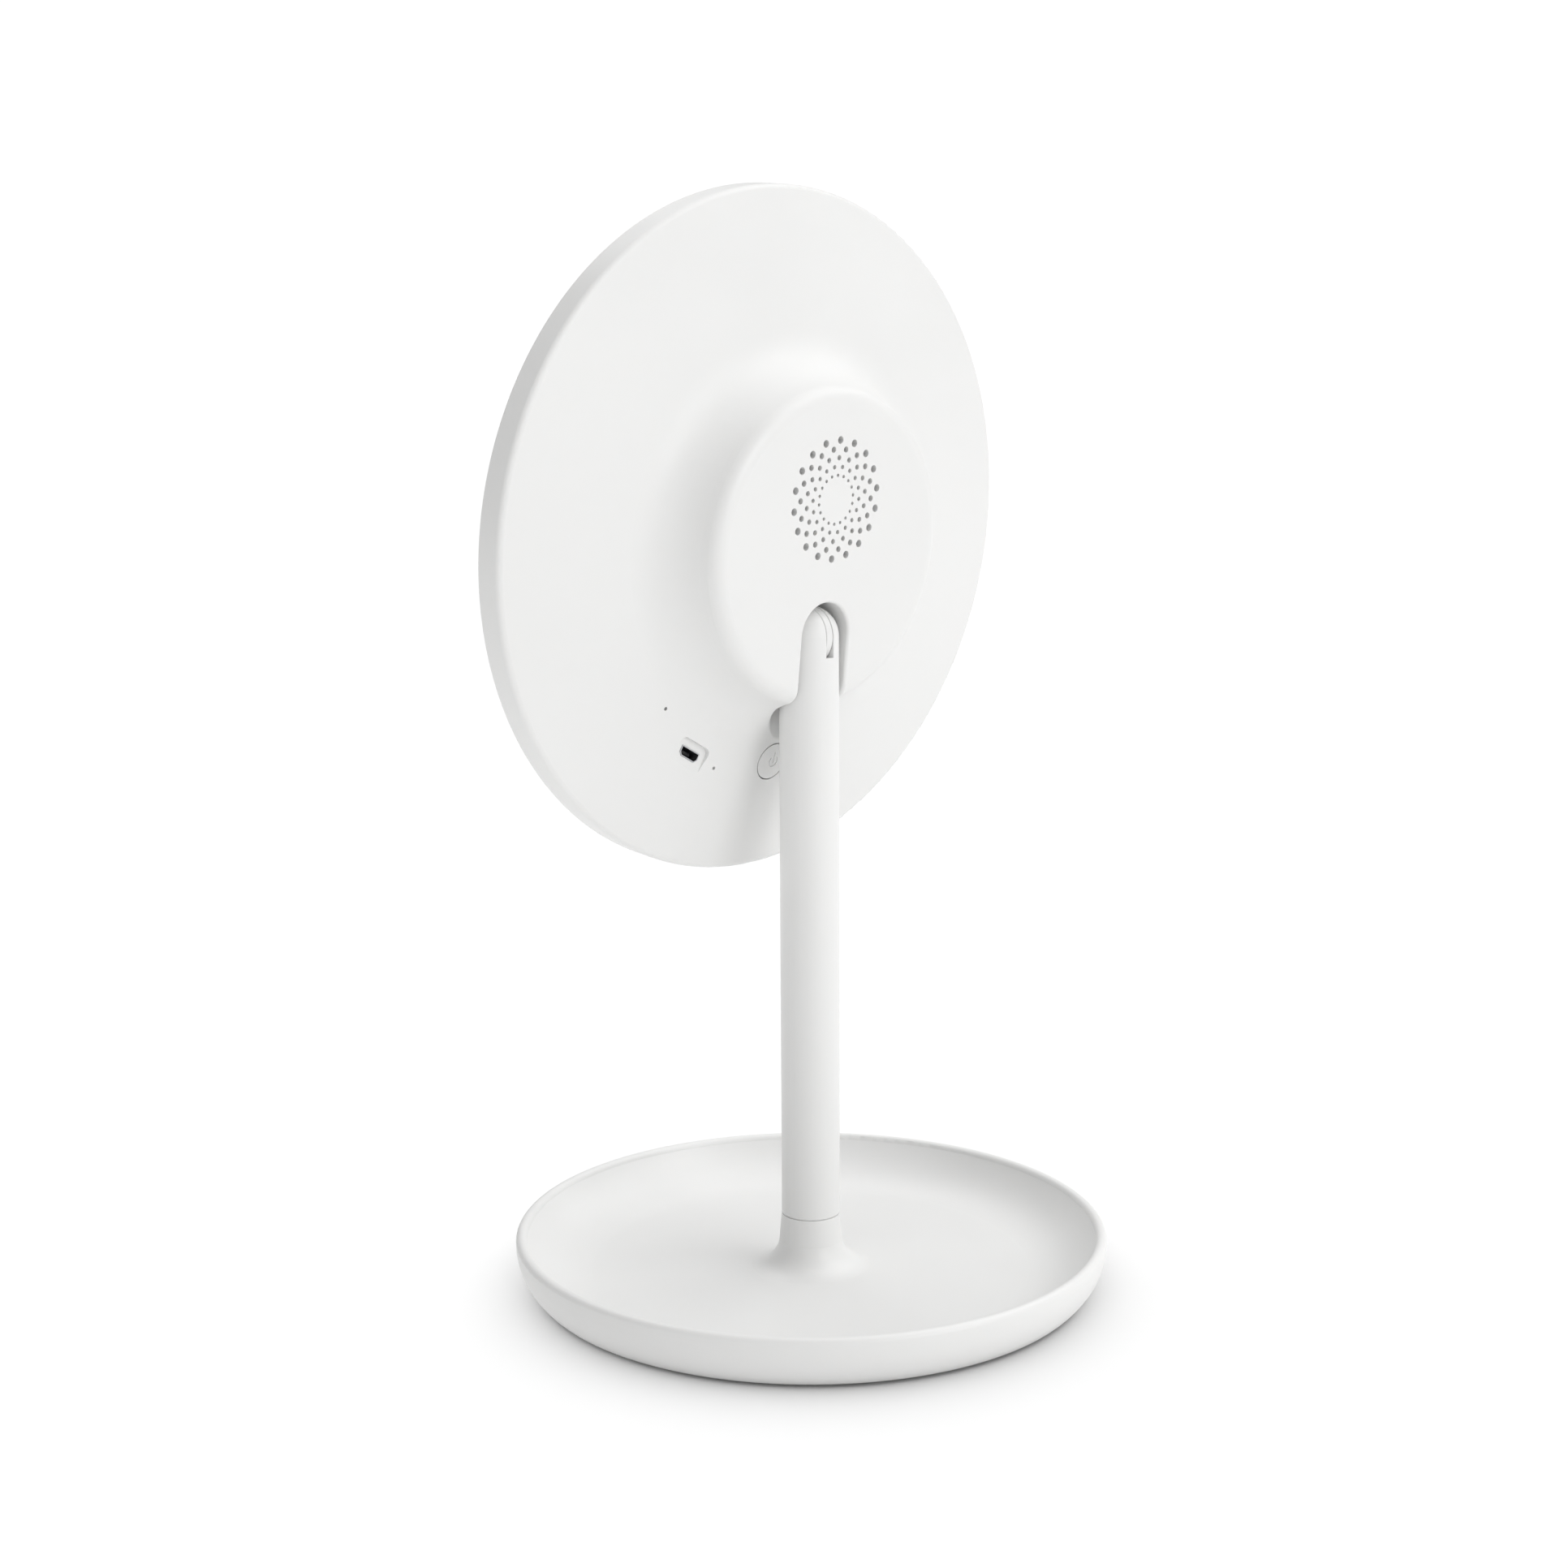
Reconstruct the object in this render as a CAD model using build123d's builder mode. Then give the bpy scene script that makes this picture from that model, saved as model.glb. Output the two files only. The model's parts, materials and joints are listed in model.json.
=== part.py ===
"""Round tilting vanity mirror on a tray base, with a ring light and a speaker in its back.

Millimetres, +Z up. The origin is the centre of the foot, on the table, and the post stands on +Z.
The mirror faces -Y and its moulded back faces +Y. The head is drawn at its resting tilt.
"""

import os
from math import atan, cos, degrees, radians, sin, sqrt

from build123d import *

os.makedirs("parts", exist_ok=True)

# ---- driving dimensions: base and post -------------------------------------------------
PAD_R = 79.0
PAD_T = 1.0
TRAY_FOOT_R = 82.7
TRAY_R = 88.6
TRAY_WIDE_Z = 13.5
LIP_R = 1.65
LIP_Z = 14.5
FLOOR_Z = 3.6
FLOOR_R = 66.0
WEIGHT_R = 68.0
WEIGHT_T = 1.3
SEAM_Z = 19.6
SEAM_GAP = 0.4
BOSS_TOP_R = 8.8
BOSS_FOOT_R = 10.2
BOSS_FLARE = 8.5
POST_R = 8.75
POST_BORE_R = 6.0
POST_BORE_TOP = 172.0
SPIGOT_R = 5.9
SPIGOT_L = 11.4
BOSS_HOLLOW_R = 6.0
BOSS_LEDGE_Z = 12.0

# ---- driving dimensions: hinge ---------------------------------------------------------
HINGE_Z = 194.0
FORK_GAP = 2.9
FORK_STEP = 6.0
FORK_EDGE = 0.25
DISC_R = 8.6
DISC_T = 2.5
DISC_EDGE = 0.4
POCKET_R = 8.95
TONGUE_H = 8.0
PIN_R = 2.0
PLUG_R = 3.8
PLUG_T = 1.4

# ---- driving dimensions: head, measured from the plane of the rear rim -----------------
TILT = 6.2
HINGE_OFF = 20.0
HINGE_DROP = 26.15
HEAD_R = 100.0
RIM_WALL = 2.8
WALL = 2.2
FRONT = -8.0
CONE_R = 62.0
CONE_OFF = 9.7
CONE_SLOPE = 0.229
HUB_OFF = 26.8
HUB_R = 44.6
HUB_FOOT_R = 51.0
HUB_EDGE = 5.0
FLANK_ARC = 21.0
RIM_EDGE = 1.8
FRONT_EDGE = 1.0

CHANNEL_R = 9.4
CHANNEL_TOP = -24.9
CHANNEL_END = -90.0
CHANNEL_OFF = HINGE_OFF - CHANNEL_R
CHANNEL_EDGE = 0.9

# speaker grille: ring radius and hole diameter, from the outside in
GRILLE = [(16.9, 2.2), (14.4, 1.8), (11.9, 1.55), (9.4, 1.3), (6.95, 1.0)]
GRILLE_HOLES = 18
SPEAKER_W = 14.1

# ---- driving dimensions: light, mirror and frame ---------------------------------------
MIRROR_R = 80.0
MIRROR_T = 2.5
MIRROR_OFF = -7.6
RING_IN = 80.4
RING_OUT = 96.9
RING_T = 2.0
RING_OFF = -7.9
FRAME_R = 96.9
FRAME_T = 1.5
SHELF_OFF = -2.7
SHELF_T = 1.2
LED_N = 36
LED_R = 88.6
FRAME_SCREW_R = 72.0
FRAME_SCREW_ANGLES = (65, 125, 185, 245, 305)

# ---- driving dimensions: socket, button and board --------------------------------------
PORT_TURN = 28.4
PORT_R = 68.83
PORT_FLOOR = 7.3
PORT_RECESS_W = 12.6
PORT_RECESS_IN = 65.0
PORT_RECESS_OUT = 78.0
USB_W = 7.7
USB_H = 3.0
USB_CUT = 1.0
USB_PLAY = 0.05
USB_BASE_T = 1.0
USB_BLADE_W = 5.2
USB_BLADE_T = 0.8
USB_BLADE_H = 4.6
BUTTON_W = -66.1
BUTTON_R = 5.5
BUTTON_GAP = 0.35
BUTTON_FLANGE_R = 7.4
PIN_HOLE_D = 1.1
LAMP_UW = (-44.6, -45.7)
RESET_UW = (-23.0, -65.7)
BOARD_OFF = -1.2
BOARD_T = 1.6
BOARD_IN = 54.0
BOARD_OUT = 78.0
BOARD_FROM = -13.0
BOARD_TO = 55.0


# ---- small hardware and inner parts ----------------------------------------------------
POST_SCREW_R = 2.0
POST_SCREW_L = 28.0
SCREW_HEAD_R = 4.0
SCREW_HEAD_T = 2.6
WASHER_T = 0.8
ANCHOR_L = 10.0
SEAT_X = 4.6
NUT_T = 1.8
PIN_PLAY = 0.04
BRACKET_OFF = 6.4
BRACKET_T = 2.0
BRACKET_L = 34.0
BRACKET_H = 16.0
BRACKET_PITCH_U = 26.0
BRACKET_PITCH_W = 9.0
FRAME_TOP = -3.6
BOARD_SCREW_R = 75.0
BOARD_SCREW_ANGLES = (-9.0, 12.0, 50.0)
PORT_PAD_T = 1.6
SPEAKER_SEAT = 22.4
SPEAKER_PITCH = 33.0
SPEAKER_R = 20.0
CLAMP_T = 1.2
TAP_R = 1.25
SMALL_TAP_R = 1.0
TOUCH_UW = (-14.0, -58.0)
TOUCH_R = 4.0
FRAME_WALL_R = 80.2
FRAME_WALL = 1.4
FLAT_HEAD_R = 2.3
FLAT_HEAD_T = 0.9
LED_BOARD_T = 1.0
LED_BOARD_W = 11.0
LED_T = 0.7
CLOTH_T = 0.3
BASKET_OFF = 15.2
MAGNET_T = 6.4
SWITCH_T = 1.8
PLUNGER_R = 1.7
PLUNGER_OFF = 1.3
BUTTON_SKIRT = 0.9
FLANGE_GAP = 0.1
SYMBOL_R = 1.8
SYMBOL_U = 0.5
BAR_L = 3.6
BAR_W = 1.2
SYMBOL_LINE = 0.5
SYMBOL_DEPTH = 0.25
USB_WALL = 0.3
# board chips: radius, angle from straight down, size
CHIPS = [
    (60.0, 8.0, (7.0, 7.0)),
    (58.5, 48.0, (6.0, 5.0)),
    (73.0, 37.0, (5.0, 4.0)),
    (60.0, -8.0, (5.0, 3.0)),
]
BATTERY_SIZE = (60.0, 40.0, 7.6)
BATTERY_W = 12.0

# how near a point must lie to a surface to count as on it
TOUCH = 0.01

# ---- frames of reference ---------------------------------------------------------------
tilt = radians(TILT)
rearward = Vector(0, cos(tilt), -sin(tilt))
upward = Vector(0, sin(tilt), cos(tilt))
hinge = Vector(0, 0, HINGE_Z)
rim_centre = hinge - rearward * HINGE_OFF + upward * HINGE_DROP
head = Plane(origin=rim_centre, x_dir=(-1, 0, 0), z_dir=rearward)
head_axis = Axis(rim_centre, rearward)
head_section = Plane(origin=rim_centre, x_dir=(-1, 0, 0), z_dir=upward * -1)


speaker_centre = rim_centre + upward * SPEAKER_W
speaker_section = Plane(origin=speaker_centre, x_dir=(-1, 0, 0), z_dir=upward * -1)
speaker_axis = Axis(speaker_centre, rearward)


def at(off, u=0.0, w=0.0, turn=0.0):
    """Plane parallel to the mirror: u to the right seen from behind, w up, off rearward."""
    return Plane(head.offset(off).location * Location((u, w, 0), (0, 0, turn)))


along_channel = at(HINGE_OFF, 0, CHANNEL_TOP).rotated((-90, 0, 0))
channel_end_axis = Axis(along_channel.origin, rearward)


def cone(r):
    """Height of the conical back over the rim plane at radius r."""
    return CONE_OFF - (r - CONE_R) * CONE_SLOPE


def on_cone(u, w):
    """Plane lying on the conical back, at a point straight below the centre."""
    slope = degrees(atan(CONE_SLOPE))
    return Plane(head.offset(cone(-w)).location * Location((u, w, 0), (slope, 0, 0)))


def from_foot(r, angle):
    """Point on the head at radius r, angle degrees from straight down towards -u."""
    return (-r * sin(radians(angle)), -r * cos(radians(angle)))


def socket_outline(grow):
    """Corners of the socket's mouth, the two outer ones cut off, grown all round."""
    half_w = USB_W / 2 + grow
    half_h = USB_H / 2 + grow
    cut = USB_CUT + grow * (2 - sqrt(2))
    return [
        (-half_w, half_h),
        (half_w, half_h),
        (half_w, cut - half_h),
        (half_w - cut, -half_h),
        (cut - half_w, -half_h),
        (-half_w, cut - half_h),
    ]


def ring_of(r, angles):
    """Points at one radius for a list of angles from straight down."""
    return [from_foot(r, angle) for angle in angles]


def screws(name, off, points, shank_r, shank_l, head_r, head_t, origin=(0.0, 0.0)):
    """Cross-head screws driven rearward, heads seated at height off."""
    with BuildPart() as group:
        with BuildSketch(at(off, *origin)):
            with Locations(*points):
                Circle(shank_r)
        extrude(amount=shank_l)
        with BuildSketch(at(off, *origin)):
            with Locations(*points):
                Circle(head_r)
        extrude(amount=-head_t)
        with BuildSketch(at(off - head_t, *origin)):
            with Locations(*points):
                Rectangle(1.1 * head_r, 0.24 * head_r)
                Rectangle(0.24 * head_r, 1.1 * head_r)
        extrude(amount=0.5 * head_t, mode=Mode.SUBTRACT)
    finish(group, name)


def finish(builder, name):
    """Label one finished piece and write it."""
    builder.part.label = name
    export_step(builder.part, f"parts/{name}.step")


# ======================================= base ===========================================
with BuildPart() as foot_pad:
    with BuildSketch():
        Circle(PAD_R)
    extrude(amount=PAD_T)
    chamfer(foot_pad.edges().sort_by(Axis.Z)[0], 0.3)
finish(foot_pad, "foot_pad")

with BuildPart() as base_weight:
    with BuildSketch(Plane.XY.offset(PAD_T)):
        Circle(WEIGHT_R)
        Circle(BOSS_HOLLOW_R + 2.0, mode=Mode.SUBTRACT)
    extrude(amount=WEIGHT_T)
finish(base_weight, "base_weight")

with BuildPart() as tray:
    # bulging outer wall, rounded lip, wide cove, flat floor, flared boss and its spigot
    with BuildSketch(Plane.XZ):
        with BuildLine():
            Line((0, PAD_T), (TRAY_FOOT_R, PAD_T))
            TangentArc((TRAY_R, TRAY_WIDE_Z), (TRAY_FOOT_R, PAD_T), tangent=(0, -1))
            Line((TRAY_R, TRAY_WIDE_Z), (TRAY_R, LIP_Z))
            ThreePointArc(
                (TRAY_R, LIP_Z), (TRAY_R - LIP_R, LIP_Z + LIP_R), (TRAY_R - 2 * LIP_R, LIP_Z)
            )
            TangentArc((FLOOR_R, FLOOR_Z), (TRAY_R - 2 * LIP_R, LIP_Z), tangent=(1, 0))
            FilletPolyline(
                (FLOOR_R, FLOOR_Z), (BOSS_FOOT_R, FLOOR_Z), (BOSS_TOP_R, SEAM_Z), radius=BOSS_FLARE
            )
            Polyline(
                (BOSS_TOP_R, SEAM_Z),
                (SPIGOT_R, SEAM_Z),
                (SPIGOT_R, SEAM_Z + SPIGOT_L),
                (0, SEAM_Z + SPIGOT_L),
                (0, PAD_T),
            )
        make_face()
    revolve(axis=Axis.Z)
    # pocket for the weight, hollow boss, screw hole and the cored-out wall, all from below
    with BuildSketch(Plane.XY.offset(PAD_T)):
        Circle(WEIGHT_R)
    extrude(amount=WEIGHT_T, mode=Mode.SUBTRACT)
    with BuildSketch(Plane.XY.offset(PAD_T)):
        Circle(BOSS_HOLLOW_R)
    extrude(amount=BOSS_LEDGE_Z - PAD_T, mode=Mode.SUBTRACT)
    with BuildSketch(Plane.XY.offset(PAD_T)):
        Circle(POST_SCREW_R + 0.25)
    extrude(amount=SEAM_Z + SPIGOT_L, mode=Mode.SUBTRACT)
    with BuildSketch(Plane.XZ):
        with BuildLine():
            Polyline((71.5, PAD_T), (80.5, PAD_T), (83.6, 8.2), (75.5, 3.2), close=True)
        make_face()
    revolve(axis=Axis.Z, mode=Mode.SUBTRACT)
finish(tray, "tray")


def on_fork_rim(edge):
    """True for the edges where the fork gap meets the outside of the dome."""
    middle = edge @ 0.5 - Vector(0, 0, HINGE_Z)
    reach = middle.length if middle.Z > 0 else Vector(middle.X, middle.Y, 0).length
    return abs(abs(middle.X) - FORK_GAP / 2) < TOUCH and abs(reach - POST_R) < TOUCH


with BuildPart() as post:
    with BuildSketch(Plane.XZ):
        with BuildLine():
            Polyline(
                (0, SEAM_Z),
                (POST_R - SEAM_GAP, SEAM_Z),
                (POST_R - SEAM_GAP, SEAM_Z + SEAM_GAP),
                (POST_R, SEAM_Z + SEAM_GAP),
                (POST_R, HINGE_Z),
            )
            RadiusArc((POST_R, HINGE_Z), (0, HINGE_Z + POST_R), -POST_R)
            Line((0, HINGE_Z + POST_R), (0, SEAM_Z))
        make_face()
    revolve(axis=Axis.Z)
    with BuildSketch(Plane.XY.offset(SEAM_Z)):
        Circle(POST_BORE_R)
    extrude(amount=POST_BORE_TOP - SEAM_Z, mode=Mode.SUBTRACT)
    # fork: an open gap with a flat step, and a round pocket for the hinge disc
    with BuildSketch(Plane.YZ):
        with Locations((0, HINGE_Z - FORK_STEP + POST_R)):
            Rectangle(4 * POST_R, 2 * POST_R)
        with Locations((0, HINGE_Z)):
            Circle(POCKET_R)
    extrude(amount=FORK_GAP / 2, both=True, mode=Mode.SUBTRACT)
    fork_rims = [edge for edge in post.edges(Select.LAST) if on_fork_rim(edge)]
    fillet(fork_rims, FORK_EDGE)
    # hinge screw: plain hole, with a seat and a plug recess in each cheek
    with BuildSketch(Plane.YZ):
        with Locations((0, HINGE_Z)):
            Circle(PIN_R)
    extrude(amount=POST_R, both=True, mode=Mode.SUBTRACT)
    for side in (-1, 1):
        with BuildSketch(Plane.YZ.offset(side * SEAT_X)):
            with Locations((0, HINGE_Z)):
                Circle(PLUG_R)
        extrude(amount=side * POST_R, mode=Mode.SUBTRACT)
finish(post, "post")

with BuildPart() as post_anchor:
    with BuildSketch(Plane.XY.offset(SEAM_Z + SPIGOT_L)):
        Circle(POST_BORE_R)
        Circle(POST_SCREW_R, mode=Mode.SUBTRACT)
    extrude(amount=ANCHOR_L)
finish(post_anchor, "post_anchor")

with BuildPart() as post_washer:
    with BuildSketch(Plane.XY.offset(BOSS_LEDGE_Z - WASHER_T)):
        Circle(BOSS_HOLLOW_R - 0.5)
        Circle(POST_SCREW_R + 0.2, mode=Mode.SUBTRACT)
    extrude(amount=WASHER_T)
finish(post_washer, "post_washer")

with BuildPart() as post_screw:
    with BuildSketch(Plane.XY.offset(BOSS_LEDGE_Z - WASHER_T)):
        Circle(POST_SCREW_R)
    extrude(amount=POST_SCREW_L)
    with BuildSketch(Plane.XY.offset(BOSS_LEDGE_Z - WASHER_T)):
        Circle(SCREW_HEAD_R)
    extrude(amount=-SCREW_HEAD_T)
    with BuildSketch(Plane.XY.offset(BOSS_LEDGE_Z - WASHER_T - SCREW_HEAD_T)):
        for turn in (0, 90):
            Rectangle(4.4, 1.0, rotation=turn)
    extrude(amount=1.4, mode=Mode.SUBTRACT)
finish(post_screw, "post_screw")

# ======================================= hinge ==========================================
with BuildPart() as hinge_screw:
    with BuildSketch(Plane.YZ.offset(-SEAT_X)):
        with Locations((0, HINGE_Z)):
            Circle(PIN_R)
    extrude(amount=2 * SEAT_X + NUT_T)
    with BuildSketch(Plane.YZ.offset(-SEAT_X)):
        with Locations((0, HINGE_Z)):
            Circle(PLUG_R - 0.2)
    extrude(amount=-NUT_T)
    with BuildSketch(Plane.YZ.offset(-SEAT_X - NUT_T)):
        with Locations((0, HINGE_Z)):
            Rectangle(5.0, 0.9)
            Rectangle(0.9, 5.0)
    extrude(amount=0.8, mode=Mode.SUBTRACT)
finish(hinge_screw, "hinge_screw")

with BuildPart() as hinge_nut:
    with BuildSketch(Plane.YZ.offset(SEAT_X)):
        with Locations((0, HINGE_Z)):
            RegularPolygon(PLUG_R - 0.1, 6)
            Circle(PIN_R, mode=Mode.SUBTRACT)
    extrude(amount=NUT_T)
finish(hinge_nut, "hinge_nut")

with BuildPart() as hinge_plugs:
    # two caps that carry the outline of the post over the screw and the nut
    with BuildSketch(Plane.YZ):
        with Locations((0, HINGE_Z)):
            Circle(PLUG_R - 0.1)
    extrude(amount=POST_R, both=True)
    with BuildSketch(Plane.XZ):
        with BuildLine():
            Polyline((POST_R - 0.15, HINGE_Z), (POST_R - 0.15, 0), (0, 0), (0, HINGE_Z + POST_R - 0.15))
            RadiusArc((POST_R - 0.15, HINGE_Z), (0, HINGE_Z + POST_R - 0.15), -POST_R + 0.15)
        make_face()
    revolve(axis=Axis.Z, mode=Mode.INTERSECT)
    with BuildSketch(Plane.YZ):
        with Locations((0, HINGE_Z)):
            Circle(POST_R)
    extrude(amount=SEAT_X + NUT_T, both=True, mode=Mode.SUBTRACT)
finish(hinge_plugs, "hinge_plugs")

with BuildPart() as hinge_tongue:
    # disc in the fork, with a tongue through the channel floor to the bracket
    with BuildSketch(Plane.YZ):
        with Locations((0, HINGE_Z)):
            Circle(DISC_R)
    extrude(amount=DISC_T / 2, both=True)
    fillet(hinge_tongue.edges().filter_by(GeomType.CIRCLE), DISC_EDGE)
    with BuildSketch(at(BRACKET_OFF, 0, -HINGE_DROP)):
        Rectangle(DISC_T, TONGUE_H)
    extrude(amount=HINGE_OFF - BRACKET_OFF)
    with BuildSketch(Plane.YZ):
        with Locations((0, HINGE_Z)):
            Circle(PIN_R + PIN_PLAY)
    extrude(amount=DISC_T, both=True, mode=Mode.SUBTRACT)
finish(hinge_tongue, "hinge_tongue")

with BuildPart() as hinge_bracket:
    with BuildSketch(at(BRACKET_OFF, 0, -HINGE_DROP)):
        RectangleRounded(BRACKET_L, BRACKET_H, 3.0)
        Rectangle(DISC_T, TONGUE_H, mode=Mode.SUBTRACT)
        with GridLocations(BRACKET_PITCH_U, BRACKET_PITCH_W, 2, 2):
            Circle(TAP_R, mode=Mode.SUBTRACT)
    extrude(amount=BRACKET_T)
finish(hinge_bracket, "hinge_bracket")

bracket_points = [
    (u * BRACKET_PITCH_U / 2, w * BRACKET_PITCH_W / 2) for u in (-1, 1) for w in (-1, 1)
]
screws("bracket_screws", BRACKET_OFF, bracket_points, TAP_R, 8.0, 2.4, 1.6, (0, -HINGE_DROP))

# ======================================= shell ==========================================
def on_mouth(edge):
    """True for the edges where the channel meets the outside of the turned form."""
    return min(face.distance_to(edge @ 0.5) for face in turned_form.faces()) < TOUCH


frame_points = ring_of(FRAME_SCREW_R, FRAME_SCREW_ANGLES)
board_points = ring_of(BOARD_SCREW_R, BOARD_SCREW_ANGLES)
hinge_points = [(u, w - HINGE_DROP) for u, w in bracket_points]
speaker_points = [
    (u * SPEAKER_PITCH / 2, SPEAKER_W + w * SPEAKER_PITCH / 2) for u in (-1, 1) for w in (-1, 1)
]
BOARD_TOP = BOARD_OFF + BOARD_T
bosses = [
    (FRAME_TOP, frame_points, 3.2),
    (CHANNEL_OFF - WALL, hinge_points, 3.0),
    (BOARD_TOP, board_points, 2.4),
    (SPEAKER_SEAT, speaker_points, 2.6),
]
pilots = [
    (FRAME_TOP, frame_points, TAP_R, 6.0),
    (CHANNEL_OFF - WALL, hinge_points, TAP_R, 6.0),
    (BOARD_TOP, board_points, SMALL_TAP_R, 3.0),
    (SPEAKER_SEAT, speaker_points, SMALL_TAP_R, 2.6),
]

with BuildPart() as turned_form:
    with BuildSketch(head_section):
        with BuildLine():
            FilletPolyline(
                (0, HUB_OFF),
                (HUB_R, HUB_OFF),
                (HUB_FOOT_R, cone(HUB_FOOT_R)),
                (HEAD_R, cone(HEAD_R)),
                (HEAD_R, FRONT),
                (0, FRONT),
                radius=[HUB_EDGE, FLANK_ARC, RIM_EDGE, FRONT_EDGE],
            )
            Line((0, FRONT), (0, HUB_OFF))
        make_face()
    revolve(axis=head_axis)

with BuildPart() as channel_form:
    # straight walls over a half-round floor, closed by the same outline turned about its middle
    with BuildSketch(along_channel):
        Circle(CHANNEL_R)
        with Locations((0, HUB_OFF / 2)):
            Rectangle(2 * CHANNEL_R, HUB_OFF)
    extrude(amount=CHANNEL_TOP - CHANNEL_END)
    with BuildSketch(along_channel):
        Circle(CHANNEL_R)
        with Locations((0, HUB_OFF / 2)):
            Rectangle(2 * CHANNEL_R, HUB_OFF)
        with Locations((CHANNEL_R, 0)):
            Rectangle(2 * CHANNEL_R, 4 * HUB_OFF, mode=Mode.INTERSECT)
    revolve(axis=channel_end_axis)

with BuildPart() as outer_form:
    add(turned_form.part)
    add(channel_form.part, mode=Mode.SUBTRACT)
    mouth = [edge for edge in outer_form.edges(Select.LAST) if on_mouth(edge)]
    fillet(mouth, CHANNEL_EDGE)

with BuildPart() as cavity:
    with BuildSketch(head_section):
        with BuildLine():
            FilletPolyline(
                (0, HUB_OFF - WALL),
                (HUB_R - WALL, HUB_OFF - WALL),
                (HUB_FOOT_R - WALL, cone(HUB_FOOT_R - WALL) - WALL),
                (HEAD_R - RIM_WALL, cone(HEAD_R - RIM_WALL) - WALL),
                (HEAD_R - RIM_WALL, FRONT - WALL),
                (0, FRONT - WALL),
                radius=[HUB_EDGE - WALL, FLANK_ARC + WALL - 1.0, 1.0, 0.2],
            )
            Line((0, FRONT - WALL), (0, HUB_OFF - WALL))
        make_face()
    revolve(axis=head_axis)
    # walls round the channel, and a thicker pad behind the charging socket
    with BuildSketch(at(CHANNEL_OFF - WALL)):
        with Locations((0, CHANNEL_TOP)):
            Circle(CHANNEL_R + WALL)
        with Locations((0, (CHANNEL_TOP + CHANNEL_END) / 2)):
            Rectangle(2 * CHANNEL_R + 2 * WALL, CHANNEL_TOP - CHANNEL_END)
    extrude(amount=HUB_OFF, mode=Mode.SUBTRACT)
    with BuildSketch(at(PORT_FLOOR - PORT_PAD_T, *from_foot(PORT_R, PORT_TURN), -PORT_TURN)):
        Rectangle(PORT_RECESS_W + 2 * WALL, 14.0)
    extrude(amount=HUB_OFF, mode=Mode.SUBTRACT)
    # screw bosses for the frame, the hinge bracket, the board and the speaker
    for off, points, boss_r in bosses:
        with BuildSketch(at(off)):
            with Locations(*points):
                Circle(boss_r)
        extrude(amount=HUB_OFF, mode=Mode.SUBTRACT)

with BuildPart() as rear_shell:
    add(outer_form.part)
    add(cavity.part, mode=Mode.SUBTRACT)
    with BuildSketch(at(HUB_OFF - 2 * WALL, 0, SPEAKER_W)):
        for number, (ring_r, hole_d) in enumerate(GRILLE):
            half_step = 180 / GRILLE_HOLES if number % 2 else 0
            with PolarLocations(ring_r, GRILLE_HOLES, start_angle=90 + half_step):
                Circle(hole_d / 2)
    extrude(amount=3 * WALL, mode=Mode.SUBTRACT)
    with BuildSketch(at(PORT_FLOOR, *from_foot((PORT_RECESS_IN + PORT_RECESS_OUT) / 2, PORT_TURN),
                        -PORT_TURN)):
        RectangleRounded(PORT_RECESS_W, PORT_RECESS_OUT - PORT_RECESS_IN, 2.0)
    extrude(amount=WALL * 2, mode=Mode.SUBTRACT)
    with BuildSketch(at(0, *from_foot(PORT_R, PORT_TURN), -PORT_TURN)):
        Polygon(*socket_outline(USB_PLAY), align=None)
    extrude(amount=2 * PORT_FLOOR, mode=Mode.SUBTRACT)
    with BuildSketch(at(0)):
        with Locations((0, BUTTON_W)):
            Circle(BUTTON_R + BUTTON_GAP)
        with Locations(LAMP_UW, RESET_UW):
            Circle(PIN_HOLE_D / 2)
    extrude(amount=HUB_OFF / 2, mode=Mode.SUBTRACT)
    # slot in the channel floor for the hinge tongue
    with BuildSketch(at(CHANNEL_OFF - 2 * WALL, 0, -HINGE_DROP)):
        Rectangle(DISC_T, TONGUE_H)
    extrude(amount=3 * WALL, mode=Mode.SUBTRACT)
    # pilot holes for the screws
    for off, points, tap_r, depth in pilots:
        with BuildSketch(at(off)):
            with Locations(*points):
                Circle(tap_r)
        extrude(amount=depth, mode=Mode.SUBTRACT)
finish(rear_shell, "rear_shell")

# ======================================= button =========================================
with BuildPart() as button_cap:
    with BuildSketch(at(0, 0, BUTTON_W)):
        Circle(BUTTON_R)
    extrude(amount=HUB_OFF)
    with BuildSketch(head_section):
        with BuildLine():
            Polyline(
                (BOARD_IN, cone(BOARD_IN) - WALL - BUTTON_SKIRT),
                (BOARD_OUT, cone(BOARD_OUT) - WALL - BUTTON_SKIRT),
                (BOARD_OUT, cone(BOARD_OUT)),
                (BOARD_IN, cone(BOARD_IN)),
                close=True,
            )
        make_face()
    revolve(axis=head_axis, mode=Mode.INTERSECT)
    # power symbol: a broken ring and a bar, cut into the sloping face
    with BuildSketch(on_cone(SYMBOL_U, BUTTON_W)):
        Circle(SYMBOL_R)
        Circle(SYMBOL_R - SYMBOL_LINE, mode=Mode.SUBTRACT)
        with Locations((0, SYMBOL_R)):
            Rectangle(4 * SYMBOL_LINE, 2 * SYMBOL_R, mode=Mode.SUBTRACT)
        with Locations((0, BAR_W)):
            Rectangle(SYMBOL_LINE, BAR_L)
    extrude(amount=-SYMBOL_DEPTH, mode=Mode.SUBTRACT)

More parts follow.
